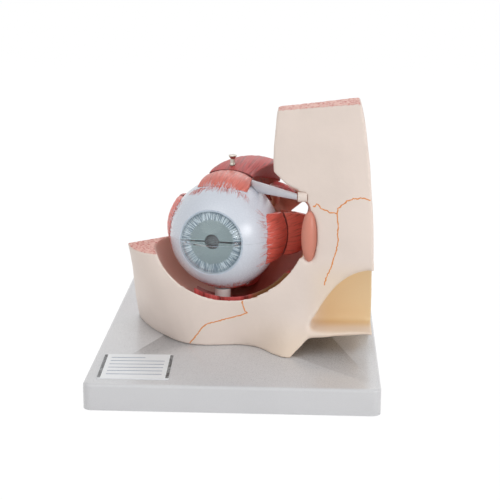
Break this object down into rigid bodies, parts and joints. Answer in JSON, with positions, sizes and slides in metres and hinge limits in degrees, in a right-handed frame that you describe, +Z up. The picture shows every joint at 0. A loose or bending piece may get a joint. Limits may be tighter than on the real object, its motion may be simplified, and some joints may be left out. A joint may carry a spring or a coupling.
{
  "type": "eye anatomy model",
  "caption": "Classroom model of an eyeball in its bony orbit on a base plate; the eyeball draws out of the muscle arch and opens into coats, lens and vitreous.",
  "frame": {"origin": "centre of the underside of the base plate, on the surface that its foot pads rest on", "axes": "+Z up, -Y towards the front that the cornea looks to, +X towards the nasal side"},
  "size_m": [0.184, 0.26, 0.183],
  "materials": {
    "base_plastic": "smooth light grey moulding, slight sheen",
    "pad_rubber": "matt black",
    "screw_steel": "zinc plated",
    "card": "thin white sheet with plain ruled lines",
    "bone": "hand painted cast resin, satin",
    "sac": "painted, slight sheen",
    "peg_plastic": "plain white",
    "nerve": "painted pale yellow",
    "fixed_muscle": "painted fibres, slight sheen",
    "eye_muscle": "painted fibres, slight sheen",
    "tendon": "painted white strap",
    "sclera": "painted bluish white, semi gloss",
    "cornea": "clear cast plastic",
    "choroid": "dark red-brown with painted vessels",
    "iris": "painted blue-grey with radial strokes",
    "retina": "painted orange with vessels",
    "lens_clear": "clear cast plastic",
    "vitreous_clear": "clear cast plastic",
    "pin_nickel": "nickel plated turned pin"
  },
  "bodies": {
    "stand": {"base_plate": "base_plastic", "foot_pads": "pad_rubber", "base_screws": "screw_steel", "label_card": "card", "orbit_bone": "bone", "lacrimal_sac": "sac", "trochlea": "bone", "support_peg": "peg_plastic", "optic_nerve": "nerve", "superior_rectus_belly": "fixed_muscle", "medial_rectus_belly": "fixed_muscle", "lateral_rectus_belly": "fixed_muscle", "inferior_rectus_belly": "fixed_muscle", "superior_oblique_belly": "fixed_muscle", "inferior_oblique": "fixed_muscle"},
    "lock_pin": {"lock_pin": "pin_nickel"},
    "lower_shell": {"sclera_lower": "sclera", "cornea_lower": "cornea", "alignment_pegs": "pin_nickel", "medial_rectus_stub_lower": "eye_muscle", "lateral_rectus_stub_lower": "eye_muscle", "inferior_rectus_stub": "eye_muscle", "optic_nerve_stump": "nerve"},
    "lower_choroid": {"choroid_lower": "choroid", "iris_lower": "iris", "retina_lower": "retina"},
    "vitreous": {"vitreous_body": "vitreous_clear"},
    "lens": {"lens": "lens_clear"},
    "upper_choroid": {"choroid_upper": "choroid", "iris_upper": "iris", "retina_upper": "retina"},
    "upper_shell": {"sclera_upper": "sclera", "cornea_upper": "cornea", "superior_rectus_stub": "eye_muscle", "medial_rectus_stub_upper": "eye_muscle", "lateral_rectus_stub_upper": "eye_muscle", "superior_oblique_tendon": "tendon"}
  },
  "joints": [
    {"name": "lock_pin_lift", "type": "slide", "parent": "stand", "child": "lock_pin", "axis": [0, 0, 1], "range_m": [0, 0.06]},
    {"name": "eyeball_out", "type": "slide", "parent": "stand", "child": "lower_shell", "axis": [-0.2396, -0.9609, 0.1392], "range_m": [0, 0.25]},
    {"name": "lower_choroid_lift", "type": "slide", "parent": "lower_shell", "child": "lower_choroid", "axis": [0, 0, 1], "range_m": [0, 0.035]},
    {"name": "vitreous_lift", "type": "slide", "parent": "lower_choroid", "child": "vitreous", "axis": [0, 0, 1], "range_m": [0, 0.0275]},
    {"name": "lens_out", "type": "slide", "parent": "vitreous", "child": "lens", "axis": [-0.2419, -0.9703, 0], "range_m": [0, 0.009]},
    {"name": "upper_choroid_lift", "type": "slide", "parent": "vitreous", "child": "upper_choroid", "axis": [0, 0, 1], "range_m": [0, 0.0275]},
    {"name": "upper_shell_lift", "type": "slide", "parent": "upper_choroid", "child": "upper_shell", "axis": [0, 0, 1], "range_m": [0, 0.035]}
  ],
  "couplings": [
    {"joint": "lower_choroid_lift", "follows": "eyeball_out", "ratio": 0.14},
    {"joint": "vitreous_lift", "follows": "eyeball_out", "ratio": 0.11},
    {"joint": "lens_out", "follows": "eyeball_out", "ratio": 0.036},
    {"joint": "upper_choroid_lift", "follows": "eyeball_out", "ratio": 0.11},
    {"joint": "upper_shell_lift", "follows": "eyeball_out", "ratio": 0.14}
  ]
}
